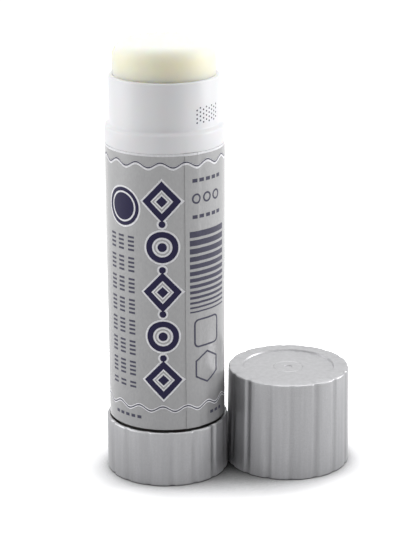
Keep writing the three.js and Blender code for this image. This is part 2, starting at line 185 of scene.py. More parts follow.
# Label and print; the lap falls from the film's lifted end in steps, as shares of the lift
LABEL_LOW_EDGE = 0.7 * MM
LAP_LIFT = 0.13 * MM
LAP_RISE_LENGTH = 1.2 * MM
LAP_FALL = (0.85, 0.5, 0.15, 0.0)
LABEL_COLUMN_ANGLE = math.radians(2)
PRINT_STRIP = 0.7 * MM
WAVES_TURN = math.radians(358.4)
WAVES_FIRST_PEAK = math.radians(19.1)
WAVE_STEPS = 16
UPPER_WAVES = 73.12 * MM
LOWER_WAVES = 18.2 * MM
MEDALLION_PLACE = (-10.2 * MM, 63.6 * MM)
DOT_ACROSS = 7.2 * MM
DOT_UP = 81.7 * MM
DOT_PITCH = 0.9 * MM
DOT_COLUMNS = 8
DOT_ROWS = 4
DOT_RADIUS = 0.2 * MM
DOT_THICKNESS = 0.02 * MM
PRINT_STANDOFF = 0.6 * MM

# Paper: its width in metres, how far it is lit over white, the strength of the plain white
# that it turns into between two distances, and how far from a contact and how strongly the
# shadow is deepened with painted shadow
PAPER_WIDTH = 6
FLOOR_GAIN = 2.3
BACKDROP_LIGHT = 1.1
PAPER_NEAR = 60 * MM
PAPER_FAR = 160 * MM
CONTACT_REACH = 32 * MM
CONTACT_DEPTH = 2.0

# Painted shade in the gap between barrel and knob, on the spigot: its colour, and how gradually it
# ends
GAP_PAINTED_SHADE = "#4A4846"
GAP_PAINTED_SHADE_FADE = 0.1 * MM

# Values between which nearly all of a cloudy pattern lies
MOTTLE_LOW, MOTTLE_HIGH = 0.3, 0.7

# Lamps: the point that they are aimed at, and for each its azimuth from the front and its
# elevation in degrees, and its distance and width in metres
LAMP_AIM = Vector((12, 0, 50)) * MM
LAMPS = {
    "left": (-91, 12, 0.6, 0.5),
    "right": (95, 12, 0.6, 0.25),
    "top": (180, 74, 0.7, 0.8),
}

# Camera, solved from the photograph's outlines
CAMERA_EYE = Vector((-3.455, -391.18, 169.53)) * MM
CAMERA_PITCH = math.radians(17.818)
CAMERA_YAW = math.radians(1.931)
CAMERA_ROLL = math.radians(0.148)
CAMERA_LENS = 118.9
CAMERA_SENSOR = 36.0


def linear_colour(hex_code):
    """Turns an sRGB hex colour into the linear RGBA that the shaders take."""
    channels = [int(hex_code[i : i + 2], 16) / 255 for i in (1, 3, 5)]
    return [c / 12.92 if c <= 0.04045 else ((c + 0.055) / 1.055) ** 2.4 for c in channels] + [1.0]


def length_property(name, description, size):
    """A length setting, in metres with Blender's length unit."""
    return FloatProperty(name=name, description=description, default=size, min=0.0, unit="LENGTH")


def colour_property(name, description, hex_code):
    """A colour setting, given as sRGB hex."""
    colour = linear_colour(hex_code)
    return FloatVectorProperty(
        name=name, description=description, default=colour, size=4, min=0, max=1, subtype="COLOR"
    )


def light_property(name, description, strength, unit="POWER"):
    """A light setting, as a lamp's power unless another unit is given."""
    return FloatProperty(name=name, description=description, default=strength, min=0.0, unit=unit)


class BarrelSizes(bpy.types.PropertyGroup):
    body_radius: length_property("Body radius", "Outside radius of the labelled body", BODY_RADIUS)
    bore_radius: length_property("Bore radius", "Radius of the bore for the glue", 11.15 * MM)
    neck_radius: length_property("Neck radius", "Outside radius of the neck", 12.0 * MM)


class KnobSizes(bpy.types.PropertyGroup):
    radius: length_property("Knob radius", "Outside radius of the twist knob", 13.6495 * MM)
    cavity_radius: length_property("Cavity radius", "Inside radius of the twist knob", 12.35 * MM)
    groove_depth: length_property("Groove depth", "Depth of the upright grooves", 0.25 * MM)


class GlueSizes(bpy.types.PropertyGroup):
    radius: length_property("Glue radius", "Radius of the glue column", 11.14 * MM)
    edge: length_property("Glue edge", "Rounding of the top edge of the glue", 3.4 * MM)
    crown: length_property("Glue crown", "Rise of the top of the glue in its middle", 0.25 * MM)


class CapSizes(bpy.types.PropertyGroup):
    mouth_radius: length_property("Mouth radius", "Inside radius of the cap's mouth", 12.35 * MM)
    edge: length_property("Cap edge", "Rounding of the top edge of the cap", 0.36 * MM)
    recess_depth: length_property("Recess depth", "Depth of the round recess in the top", 0.4 * MM)
    groove_depth: length_property("Groove depth", "Depth of the upright grooves", 0.25 * MM)


class LabelSizes(bpy.types.PropertyGroup):
    film: length_property("Film thickness", "Thickness of the label film", 0.08 * MM)
    ink: length_property("Ink thickness", "Thickness of one printed layer", 0.02 * MM)
    lap: length_property("Lap", "How far the film's end lies over its start", 3.0 * MM)
    seam: FloatProperty(
        name="Seam",
        description="Angle of the visible film edge, from the front towards the cap",
        default=math.radians(18),
        unit="ROTATION",
    )
    wave_count: IntProperty(
        name="Waves", description="Waves in each printed border", default=15, min=3
    )
    wave_height: length_property("Wave height", "Half the height of the border's waves", 0.55 * MM)


class Finishes(bpy.types.PropertyGroup):
    white_plastic: colour_property("White moulding", "Pigment of the barrel", "#EBEBED")
    grey_plastic: colour_property("Silver-grey moulding", "Pigment of the knob and cap", "#B5B5B7")
    natural_plastic: colour_property("Inner moulding", "Colour of the hidden mouldings", "#E6E5DF")
    film: colour_property("Label film", "Colour of the bare silver film", "#A0A0A1")
    navy_ink: colour_property("Navy ink", "Colour of the dark blue print", "#1A1440")
    slate_ink: colour_property("Slate ink", "Colour of the fine dark print", "#4B4A5C")
    white_ink: colour_property("White ink", "Colour of the pale outlines", "#F2F2F5")
    glue: colour_property("Glue", "Colour of the cast glue", "#F9F5E0")
    # Painted light: the paler colour of the glue's brightly lit top
    glue_top_painted_light: colour_property("Glue top, painted light", "Colour of the glue's open top", "#F1F1EB")


class StageSettings(bpy.types.PropertyGroup):
    left_light: light_property("Left light", "Power of the left lamp", 2.0)
    right_light: light_property("Right light", "Power of the right lamp", 2.2)
    top_light: light_property("Top light", "Power of the overhead lamp", 4.6)
    surround: light_property("Surround", "Strength of the even light all round", 0.26, "NONE")


# Working in Blender as by hand


def select_only(*pieces):
    """Leaves edit mode and selects these objects alone, the first of them active."""
    if bpy.context.object is not None and bpy.context.object.mode != "OBJECT":
        bpy.ops.object.mode_set(mode="OBJECT")
    bpy.ops.object.select_all(action="DESELECT")
    for piece in pieces:
        piece.select_set(True)
    if pieces:
        bpy.context.view_layer.objects.active = pieces[0]


def named(piece, name):
    piece.name = name
    piece.data.name = name
    return piece


def started(name, primitive, **settings):
    """Adds a primitive with nothing else selected, and names it."""
    select_only()
    primitive(**settings)
    return named(bpy.context.object, name)


def enter_edit():
    bpy.ops.object.mode_set(mode="EDIT")


def leave_edit():
    bpy.ops.object.mode_set(mode="OBJECT")


def select_mesh():
    bpy.ops.mesh.select_all(action="SELECT")


def edit(piece):
    """Opens a piece in edit mode with all of it selected."""
    select_only(piece)
    enter_edit()
    select_mesh()


def choose(piece, wanted):
    """Selects the vertices of the piece in edit mode for which wanted says yes."""
    bpy.ops.mesh.select_mode(type="VERT")
    bpy.ops.mesh.select_all(action="DESELECT")
    leave_edit()
    for vertex in piece.data.vertices:
        vertex.select = wanted(vertex.co)
    enter_edit()


def shift(value):
    bpy.ops.transform.translate(value=value)


def stretch(value):
    bpy.ops.transform.resize(value=value, center_override=(0, 0, 0))


def move_mesh(piece, value):
    edit(piece)
    shift(value)
    leave_edit()


def fix_place(piece):
    """Puts the object's place, turn and size into its mesh."""
    select_only(piece)
    bpy.ops.object.transform_apply(location=True, rotation=True, scale=True)


def join(name, pieces):
    select_only(*pieces)
    if len(pieces) > 1:
        bpy.ops.object.join()
    return named(bpy.context.object, name)


def copied(piece, move=(0, 0, 0), azimuth=0.0):
    """A copy with a mesh of its own, moved and turned about the Z axis."""
    select_only(piece)
    bpy.ops.object.duplicate()
    twin = bpy.context.object
    twin.matrix_world = Matrix.Rotation(azimuth, 4, "Z") @ Matrix.Translation(move)
    fix_place(twin)
    return twin


def ring(piece, azimuths):
    """Copies of a piece turned to each angle about the Z axis; the piece itself goes."""
    twins = [copied(piece, azimuth=azimuth) for azimuth in azimuths]
    bpy.data.objects.remove(piece)
    return twins


def apply_modifier(piece, kind, **settings):
    """Adds one modifier with its settings and applies it."""
    select_only(piece)
    bpy.ops.object.modifier_add(type=kind)
    modifier = piece.modifiers[-1]
    for key, value in settings.items():
        setattr(modifier, key, value)
    bpy.ops.object.modifier_apply(modifier=modifier.name)


def smooth(piece):
    select_only(piece)
    bpy.ops.object.shade_smooth_by_angle(angle=CREASE_ANGLE)


def corner(centre, radius, start, end, steps=CORNER_STEPS):
    """Points of a rounded corner in an outline, from one angle to another in degrees."""
    angles = [math.radians(start + (end - start) * i / steps) for i in range(steps + 1)]
    return [(centre[0] + radius * math.cos(a), centre[1] + radius * math.sin(a)) for a in angles]


def draw_outline(name, points):
    """Draws an outline in the XZ plane: one vertex, extruded from point to point."""
    piece = started(name, bpy.ops.mesh.primitive_plane_add, size=MM)
    enter_edit()
    bpy.ops.mesh.merge(type="CENTER")
    shift((points[0][0], 0, points[0][1]))
    for before, after in zip(points, points[1:]):
        step = (after[0] - before[0], 0, after[1] - before[1])
        bpy.ops.mesh.extrude_region_move(TRANSFORM_OT_translate={"value": step})
    return piece


def turned(name, points, steps=ROUND_STEPS):
    """Spins an outline once round the Z axis and closes its seam and poles."""
    piece = draw_outline(name, points)
    select_mesh()
    bpy.ops.mesh.spin(steps=steps, angle=FULL_TURN, center=(0, 0, 0), axis=(0, 0, 1))
    select_mesh()
    bpy.ops.mesh.remove_doubles(threshold=WELD)
    bpy.ops.mesh.normals_make_consistent(inside=False)
    leave_edit()
    return piece


def block(name, low, high, rounding):
    """A block between two corners with its edges rounded."""
    centre = [(a + b) / 2 for a, b in zip(low, high)]
    piece = started(name, bpy.ops.mesh.primitive_cube_add, size=1, location=centre)
    piece.scale = [b - a for a, b in zip(low, high)]
    fix_place(piece)
    edit(piece)
    bpy.ops.mesh.bevel(offset=rounding, segments=2, affect="EDGES")
    leave_edit()
    return piece


def press_grooves(piece, depth, inner_radius, outline_radius, darkening):
    """Presses upright grooves into a spun wall by pulling its columns in towards the axis.

    How far each point is darkened is kept in the piece's groove attribute for its material.
    """
    pitch = FULL_TURN / GROOVE_COUNT
    step = pitch / GROOVE_PITCH_STEPS
    drops = {0: 1.0, 1: 1.0, 2: 0.62, 3: 0.12}
    piece.data.attributes.new("groove", "FLOAT", "POINT")
    select_only(piece)
    enter_edit()
    for column, share in drops.items():

        def in_column(point):
            if math.hypot(point.x, point.y) < inner_radius:
                return False
            offset = math.atan2(point.y, point.x) % pitch
            nearest = min(offset, pitch - offset)
            return abs(nearest - column * step) < step / 4

        choose(piece, in_column)
        pull = 1 - share * depth / outline_radius
        stretch((pull, pull, 1))
        leave_edit()
        marks = piece.data.attributes["groove"].data
        for vertex in piece.data.vertices:
            if vertex.select:
                marks[vertex.index].value = share * darkening
        enter_edit()
    leave_edit()


def dress(piece, body, material):
    """Gives a finished piece its material and ties it to its CAD body."""
    piece.data.materials.clear()
    piece.data.materials.append(material)
    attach(piece, body)


# Materials. Real mould grain and metal flake are a few hundredths of a millimetre across: each is
# drawn at 0.3 to 0.5 mm, as coarse as it needs to show.


def add_node(tree, kind, settings=None, links=None):
    """Adds one shader node with its settings and the links into it, and gives its outputs."""
    node = tree.nodes.new("ShaderNode" + kind)
    for key, value in (settings or {}).items():
        if isinstance(key, int) or key in node.inputs.keys():
            node.inputs[key].default_value = value
        else:
            setattr(node, key, value)
    for key, source in (links or {}).items():
        tree.links.new(source, node.inputs[key])
    return node.outputs


def open_material(name):
    """An empty material, its node tree and the place on the piece that its patterns follow."""
    material = bpy.data.materials.new(name)
    material.use_nodes = True
    tree = material.node_tree
    tree.nodes.clear()
    return material, tree, add_node(tree, "TexCoord")["Object"]


def mottle(tree, place, size, detail=2.0, scale=(1, 1, 1)):
    """A cloudy pattern with lumps of this size, longer along an axis with a scale under 1."""
    mapped = add_node(tree, "Mapping", {"Scale": scale}, {"Vector": place})["Vector"]
    cloud = {"Scale": 1 / size, "Detail": detail}
    return add_node(tree, "TexNoise", cloud, {"Vector": mapped})["Fac"]


def tinted(tree, pattern, colour, darker, low=MOTTLE_LOW, high=MOTTLE_HIGH):
    """The colour, down to a darker share of itself where the pattern is low."""
    span = {"From Min": low, "From Max": high}
    share = add_node(tree, "MapRange", span, {"Value": pattern})["Result"]
    dark = [c * darker for c in colour[:3]] + [1.0]
    ends = {"data_type": "RGBA", 6: dark, 7: list(colour)}
    return add_node(tree, "Mix", ends, {0: share})[2]


def grained(tree, grain, low, high, relief, **under):
    """Roughness between two values and a relief of this depth, both from one grain."""
    dulled = {"From Min": MOTTLE_LOW, "From Max": MOTTLE_HIGH, "To Min": low, "To Max": high}
    raised = {"Distance": relief, "Strength": 0.5}
    return {
        "Roughness": add_node(tree, "MapRange", dulled, {"Value": grain})["Result"],
        "Normal": add_node(tree, "Bump", raised, {"Height": grain, **under})["Normal"],
    }


def above(tree, place, low, high):
    """Nought below one height, one above another."""
    height = add_node(tree, "SeparateXYZ", {}, {0: place})["Z"]
    span = {"From Min": low, "From Max": high}
    return add_node(tree, "MapRange", span, {"Value": height})["Result"]


def looking(tree):
    """One for the rays that see or mirror a surface, nought for those that light others."""
    ray = add_node(tree, "LightPath")
    mirrored = {0: ray["Is Glossy Ray"], 1: ray["Is Transmission Ray"]}
    either = add_node(tree, "Math", {"operation": "MAXIMUM"}, mirrored)[0]
    seen = {0: ray["Is Camera Ray"], 1: either}
    return add_node(tree, "Math", {"operation": "MAXIMUM"}, seen)[0]


def close_material(material, settings, colour, skin):
    """Gives the material its shader and output."""
    tree = material.node_tree
    links = {"Base Color": colour, **skin}
    shader = add_node(tree, "BsdfPrincipled", settings, links)["BSDF"]
    add_node(tree, "OutputMaterial", {}, {"Surface": shader})
    return material


# Injection-moulded white polypropylene: an even, faintly milky satin with soft flow marks,
# and painted dark grey on the spigot, in the joint that the knob turns on, as painted shade in the
# gap
def white_polypropylene(colours):
    material, tree, place = open_material("white_polypropylene_moulded")
    flow = mottle(tree, place, 9 * MM, 2.0, (1, 1, 0.35))
    grain = mottle(tree, place, 0.35 * MM, 3.0)
    white = tinted(tree, flow, colours.white_plastic, 0.965)
    # Painted shade: below the body's foot the white turns dark grey, for the shade in the gap above
    # the knob
    unshaded = above(tree, place, BODY_FOOT - GAP_PAINTED_SHADE_FADE, BODY_FOOT + GAP_PAINTED_SHADE_FADE)
    painted_gap_shade = {"data_type": "RGBA", 6: linear_colour(GAP_PAINTED_SHADE)}
    colour = add_node(tree, "Mix", painted_gap_shade, {0: unshaded, 7: white})[2]
    skin = grained(tree, grain, 0.3, 0.4, 0.004 * MM)
    milky = {"IOR": 1.49, "Subsurface Weight": 0.12, "Subsurface Scale": 0.6 * MM}
    return close_material(material, milky, colour, skin)


# Polypropylene with aluminium flake, moulded: satin grey with upright flow streaks, and a
# darker colour in the grooves
def silver_polypropylene(colours):
    material, tree, place = open_material("silver_polypropylene_moulded")
    streaks = mottle(tree, place, 1.1 * MM, 3.0, (1, 1, 0.05))
    flake = mottle(tree, place, 0.3 * MM)
    tone = add_node(tree, "Math", {"operation": "MULTIPLY"}, {0: streaks, 1: flake})[0]
    silver = tinted(tree, tone, colours.grey_plastic, 0.84, 0.12, 0.4)
    # The colour is darker in the grooves, by the share kept in their groove attribute
    groove = add_node(tree, "Attribute", {"attribute_name": "groove"})["Fac"]
    darker_in_grooves = {"To Min": 1.0, "To Max": GROOVE_TONE}
    share = add_node(tree, "MapRange", darker_in_grooves, {"Value": groove})["Result"]
    toned = {0: silver, "Scale": share}
    colour = add_node(tree, "VectorMath", {"operation": "SCALE"}, toned)["Vector"]
    skin = grained(tree, flake, 0.38, 0.48, 0.006 * MM)
    return close_material(material, {"Metallic": 0.88, "IOR": 1.49}, colour, skin)


# Natural polypropylene, moulded without pigment: pale, slightly waxy
def natural_polypropylene(colours):
    material, tree, place = open_material("natural_polypropylene_moulded")
    flow = mottle(tree, place, 5 * MM)
    grain = mottle(tree, place, 0.3 * MM, 3.0)
    colour = tinted(tree, flow, colours.natural_plastic, 0.94)
    skin = grained(tree, grain, 0.38, 0.5, 0.005 * MM)
    waxy = {"IOR": 1.49, "Subsurface Weight": 0.2, "Subsurface Scale": 0.8 * MM}
    return close_material(material, waxy, colour, skin)


# Silver polypropylene film, printed, varnished and wrapped: a dull metallic sheet, faintly
# rippled, under the soft gloss of a clear varnish
def silver_film(colours):
    material, tree, place = open_material("silver_film_wrapped")
    ripple = mottle(tree, place, 14 * MM, 2.0, (1, 1, 0.4))
    grain = mottle(tree, place, 0.4 * MM, 3.0, (1, 1, 0.5))
    waves = {"Distance": 0.05 * MM, "Strength": 0.4}
    rippled = add_node(tree, "Bump", waves, {"Height": ripple})["Normal"]
    colour = tinted(tree, grain, colours.film, 0.9)
    skin = grained(tree, grain, 0.34, 0.46, 0.004 * MM, Normal=rippled)
    varnished = {"Metallic": 0.4, "IOR": 1.5, "Coat Weight": 1.0, "Coat Roughness": 0.2}
    return close_material(material, varnished, colour, skin)


# Flexographic ink on film: an even coat that thins a little in a fine mottle
def printing_ink(name, colour):
    material, tree, place = open_material(name)
    coat = mottle(tree, place, 0.5 * MM, 3.0)
    printed = tinted(tree, coat, colour, 0.85)
    skin = grained(tree, coat, 0.32, 0.42, 0.002 * MM)
    return close_material(material, {"IOR": 1.5, "Specular IOR Level": 0.25}, printed, skin)


# Soap-based glue, cast in its barrel: waxy cream that light sinks into, cloudy inside, and
# paler towards the top as painted light, for the brightly lit top
def cast_glue(colours):
    material, tree, place = open_material("glue_cast")
    cloud = mottle(tree, place, 6 * MM, 3.0)
    grain = mottle(tree, place, 0.9 * MM, 3.0)
    cream = tinted(tree, cloud, colours.glue, 0.95)
    # Painted light: the colour turns paler towards the top, as the top is brightly lit
    painted_light_share = above(tree, place, GLUE_PAINTED_LIGHT_FOOT, GLUE_PAINTED_LIGHT_FULL)
    painted_top = {"data_type": "RGBA", 7: colours.glue_top_painted_light}
    colour = add_node(tree, "Mix", painted_top, {0: painted_light_share, 6: cream})[2]
    skin = grained(tree, grain, 0.4, 0.55, 0.02 * MM)
    waxy = {
        "IOR": 1.45,
        "Subsurface Weight": 1.0,
        "Subsurface Scale": 5 * MM,
        "Subsurface Radius": (1.0, 0.85, 0.45),
    }
    return close_material(material, waxy, colour, skin)


# Matt white paper sweep: white to the eye and in reflections, with the object's shadow kept and
# deepened near contacts by painted shadow, and greyer in the light that it throws back, so that
# the sides keep their modelling
def paper_floor():
    material, tree, place = open_material("paper_sweep_matt")
    fibre = mottle(tree, place, 3 * MM)
    seen = tinted(tree, fibre, linear_colour("#F7F7F8"), 0.985)
    thrown = tinted(tree, fibre, linear_colour("#F0F0F1"), 0.985)
    # Painted shadow: the colour seen is darkened near contacts by ambient occlusion, over the real
    # shadow
    contact = add_node(tree, "AmbientOcclusion", {"samples": 8, "Distance": CONTACT_REACH})["AO"]
    deepened = add_node(tree, "Math", {"operation": "POWER", 1: CONTACT_DEPTH}, {0: contact})[0]
    gain = add_node(tree, "Math", {"operation": "MULTIPLY", 1: FLOOR_GAIN}, {0: deepened})[0]
    lit = add_node(tree, "VectorMath", {"operation": "SCALE"}, {0: seen, "Scale": gain})["Vector"]
    bright = add_node(tree, "BsdfDiffuse", {}, {"Color": lit})["BSDF"]
    grey = add_node(tree, "BsdfDiffuse", {}, {"Color": thrown})["BSDF"]
    camera_ray = add_node(tree, "LightPath")["Is Camera Ray"]
    near = add_node(tree, "MixShader", {}, {0: camera_ray, 1: grey, 2: bright})["Shader"]
    glow = {"Color": (1, 1, 1, 1), "Strength": BACKDROP_LIGHT}
    white = add_node(tree, "Emission", glow)["Emission"]
    away = add_node(tree, "VectorMath", {"operation": "LENGTH"}, {0: place})["Value"]
    span = {"From Min": PAPER_NEAR, "From Max": PAPER_FAR}
    share = add_node(tree, "MapRange", span, {"Value": away})["Result"]
    paper = add_node(tree, "MixShader", {}, {0: share, 1: near, 2: white})["Shader"]
    sides = {0: looking(tree), 1: grey, 2: paper}
    surface = add_node(tree, "MixShader", {}, sides)["Shader"]
    add_node(tree, "OutputMaterial", {}, {"Surface": surface})
    return material


# Flat artwork, drawn in the XZ plane and facing the front, then wrapped on the label


def flat_disc(name, radius, hole=0.0, vertices=40, width=1.0, height=1.0):
    """A disc, lozenge or hexagon in one plane, with or without a hole of its own shape."""
    disc = {"vertices": vertices, "radius": radius, "fill_type": "NGON", "rotation": UPRIGHT}
    piece = started(name, bpy.ops.mesh.primitive_circle_add, **disc)
    fix_place(piece)
    edit(piece)
    if hole:
        border = (radius - hole) * math.cos(math.pi / vertices)
        bpy.ops.mesh.inset(thickness=border, depth=0)
        bpy.ops.mesh.delete(type="FACE")
    select_mesh()
    stretch((width, 1, height))
    return cut_into_strips(piece)


def flat_bar(name, width, height, rounding=0.0, line=0.0):
    """A bar or, with a line width, the outline of one, with rounded corners if asked."""
    piece = started(name, bpy.ops.mesh.primitive_plane_add, size=1, rotation=UPRIGHT)
    piece.scale = (width, height, 1)
    fix_place(piece)
    edit(piece)
    if rounding:
        bpy.ops.mesh.bevel(offset=rounding, segments=4, affect="VERTICES")
    if line:
        bpy.ops.mesh.inset(thickness=line, depth=0)
        bpy.ops.mesh.delete(type="FACE")
    return cut_into_strips(piece)


def cut_into_strips(piece):
    """Cuts flat artwork into upright strips, so that it can follow the label's curve."""
    leave_edit()
    across = [vertex.co.x for vertex in piece.data.vertices]
    low, high = min(across), max(across)
    count = math.ceil((high - low) / PRINT_STRIP)
    enter_edit()
    for i in range(1, count):
        select_mesh()
        cut = low + (high - low) * i / count
        bpy.ops.mesh.bisect(plane_co=(cut, 0, 0), plane_no=(1, 0, 0))
    leave_edit()
    return piece


def stamped(motif, places):
    """Copies of a flat motif at each place across and up the label; the motif itself goes."""
    prints = [copied(motif, (across, 0, up)) for across, up in places]
    bpy.data.objects.remove(motif)
    return prints


def wrap_on_label(piece, label, radius, lift, thickness):
    """Bends flat artwork round the stick, lays it on the film and gives the ink its thickness."""
    across = [vertex.co.x for vertex in piece.data.vertices]
    move_mesh(piece, (0, -PRINT_STANDOFF, 0))
    bend = (max(across) - min(across)) / radius
    apply_modifier(piece, "SIMPLE_DEFORM", deform_method="BEND", deform_axis="Z", angle=bend)
    move_mesh(piece, (0, -radius, 0))
    nearest = {"wrap_method": "NEAREST_SURFACEPOINT", "wrap_mode": "ABOVE_SURFACE"}
    apply_modifier(piece, "SHRINKWRAP", target=label, offset=lift, **nearest)
    apply_modifier(piece, "SOLIDIFY", thickness=thickness, offset=-1)
    smooth(piece)


def wavy_line(label, width, middle):
    """A wavy line of one width, laid flat from the seam once round the label."""
    radius = bpy.context.scene.barrel_sizes.body_radius
    pitch = WAVES_TURN * radius / label.wave_count
    grid = {"x_subdivisions": WAVE_STEPS, "y_subdivisions": 1, "size": 1, "rotation": UPRIGHT}
    wave = started("wave", bpy.ops.mesh.primitive_grid_add, **grid)
    wave.scale = (pitch, width, 1)
    fix_place(wave)
    enter_edit()
    for column in range(WAVE_STEPS + 1):
        across = (column / WAVE_STEPS - 0.5) * pitch
        choose(wave, lambda point: abs(point.x - across) < pitch / WAVE_STEPS / 4)
        shift((0, 0, label.wave_height * math.cos(FULL_TURN * column / WAVE_STEPS)))
    leave_edit()
    first_peak = WAVES_FIRST_PEAK * radius
    half = math.ceil(label.wave_count / 2) + 1
    places = [(first_peak + (i + 0.5) * pitch, middle) for i in range(-half, half)]
    return stamped(wave, places)


# Operators: one for each piece


class GLUESTICK_OT_barrel(bpy.types.Operator):
    """Moulds the white barrel with its spigot, label seat, collar, neck and bore"""

    bl_idname = "gluestick.barrel"
    bl_label = "Barrel"

    def execute(self, context):
        sizes = context.scene.barrel_sizes
        body, bore, neck = sizes.body_radius, sizes.bore_radius, sizes.neck_radius
        seat = body - LABEL_SEAT_DEPTH
        collar_foot = LABEL_TOP + COLLAR_GAP
        collar_top = collar_foot + COLLAR_HEIGHT
        groove = SPIGOT_RADIUS - SNAP_GROOVE_DEPTH
        shadow = SPIGOT_RADIUS - SHADOW_GROOVE_DEPTH
        fillet = neck + SHOULDER_FILLET
        outline = [
            (JOURNAL_HOLE_RADIUS, FLOOR_FOOT),
            (SPIGOT_BORE_RADIUS, FLOOR_FOOT),
            (SPIGOT_BORE_RADIUS, BARREL_FOOT),
            (SPIGOT_RADIUS - BODY_CHAMFER, BARREL_FOOT),
            (SPIGOT_RADIUS, BARREL_FOOT + BODY_CHAMFER),
            (SPIGOT_RADIUS, SNAP_GROOVE_FOOT),
            (groove, SNAP_GROOVE_FOOT),
            (groove, SNAP_GROOVE_TOP),
            (SPIGOT_RADIUS, SNAP_GROOVE_TOP),
            (SPIGOT_RADIUS, SHADOW_GROOVE_FOOT),
            (shadow, SHADOW_GROOVE_FOOT),
            (shadow, BODY_FOOT),
            *corner((seat - BODY_CHAMFER, BODY_FOOT + BODY_CHAMFER), BODY_CHAMFER, -90, 0),
            (seat, collar_foot),
            *corner((body - COLLAR_LIP, collar_foot + COLLAR_LIP), COLLAR_LIP, -90, 0),
            *corner((body - COLLAR_EDGE, collar_top - EDGE_BREAK), COLLAR_EDGE, 0, SHOULDER_SLOPE),
            *corner(
                (fillet, collar_top + SHOULDER_RISE), SHOULDER_FILLET, 180 + SHOULDER_SLOPE, 180
            ),
            *corner((neck - RIM_ROUNDING, RIM - RIM_ROUNDING), RIM_ROUNDING, 0, 90),
            *corner(
                (bore + RIM_MOUTH_ROUNDING, RIM - RIM_MOUTH_ROUNDING), RIM_MOUTH_ROUNDING, 90, 180
            ),
            (bore, FLOOR_TOP),
            (JOURNAL_HOLE_RADIUS, FLOOR_TOP),
            (JOURNAL_HOLE_RADIUS, FLOOR_FOOT),
        ]
        shell = turned("barrel_moulding", outline)
        guide = block(
            "guide",
            (bore - GUIDE_HEIGHT, -GUIDE_WIDTH / 2, GUIDE_FOOT),
            (bore + SINK, GUIDE_WIDTH / 2, RIM - GUIDE_BELOW_RIM),
            GUIDE_EDGE,
        )
        barrel = join("barrel_moulding", [shell, *ring(guide, GUIDE_AZIMUTHS)])
        smooth(barrel)
        dress(barrel, "barrel", white_polypropylene(context.scene.finishes))
        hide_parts("barrel")
        return {"FINISHED"}


class GLUESTICK_OT_knob(bpy.types.Operator):
    """Moulds the grooved twist knob with its snap bead, floor ribs and hexagonal socket"""

    bl_idname = "gluestick.knob"
    bl_label = "Twist knob"

    def execute(self, context):
        sizes = context.scene.knob_sizes
        outer, cavity = sizes.radius, sizes.cavity_radius
        foot_inner = outer - KNOB_EDGE - KNOB_FOOT_WIDTH
        bead = cavity - SNAP_BEAD_DEPTH
        outline = [
            (0, KNOB_FOOT_RECESS),
            (foot_inner - KNOB_FOOT_RECESS, KNOB_FOOT_RECESS),
            (foot_inner, EDGE_BREAK),
            (foot_inner + EDGE_BREAK, 0),
            *corner((outer - KNOB_EDGE, KNOB_EDGE), KNOB_EDGE, -90, 0),
            *corner((outer - KNOB_EDGE, KNOB_RIM - KNOB_EDGE), KNOB_EDGE, 0, 90),
            (cavity + KNOB_MOUTH_CHAMFER, KNOB_RIM),
            (cavity, KNOB_RIM - KNOB_MOUTH_CHAMFER),
            (cavity, SNAP_BEAD_TOP),
            (bead, SNAP_BEAD_TOP - SNAP_BEAD_SLOPE),
            (bead, SNAP_BEAD_FOOT + SNAP_BEAD_SLOPE),
            (cavity, SNAP_BEAD_FOOT),
            (cavity, KNOB_FLOOR),
            (0, KNOB_FLOOR),
        ]
        cup = turned("knob_moulding", outline, GROOVE_COUNT * GROOVE_PITCH_STEPS)
        wall = outer - KNOB_EDGE - 0.02 * MM
        press_grooves(cup, sizes.groove_depth, wall, outer, KNOB_GROOVE_DARKENING)
        cup.rotation_euler.z = KNOB_TURN
        fix_place(cup)
        socket = {"radius": SOCKET_HALF_WIDTH / math.cos(math.pi / 6), "vertices": 6}
        place = (0, 0, KNOB_FLOOR)
        hub = started("hub", bpy.ops.mesh.primitive_circle_add, location=place, **socket)
        fix_place(hub)
        edit(hub)
        bpy.ops.mesh.subdivide(number_cuts=7)
        bpy.ops.mesh.primitive_circle_add(vertices=48, radius=HUB_RADIUS, location=place)
        select_mesh()
        bpy.ops.mesh.bridge_edge_loops()
        select_mesh()
        rise = {"value": (0, 0, HUB_TOP - KNOB_FLOOR)}
        bpy.ops.mesh.extrude_region_move(TRANSFORM_OT_translate=rise)
        select_mesh()
        bpy.ops.mesh.normals_make_consistent(inside=False)
        leave_edit()
        rib = block(
            "rib",
            (HUB_RADIUS - SINK, -KNOB_RIB_THICKNESS / 2, KNOB_FLOOR - SINK),
            (cavity + SINK, KNOB_RIB_THICKNESS / 2, KNOB_RIB_TOP),
            KNOB_RIB_EDGE,
        )
        ribs = ring(rib, [i * FULL_TURN / KNOB_RIB_COUNT for i in range(KNOB_RIB_COUNT)])
        knob = join("knob_moulding", [cup, hub, *ribs])
        smooth(knob)
        dress(knob, "knob", silver_polypropylene(context.scene.finishes))
        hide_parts("twist_knob")
        return {"FINISHED"}


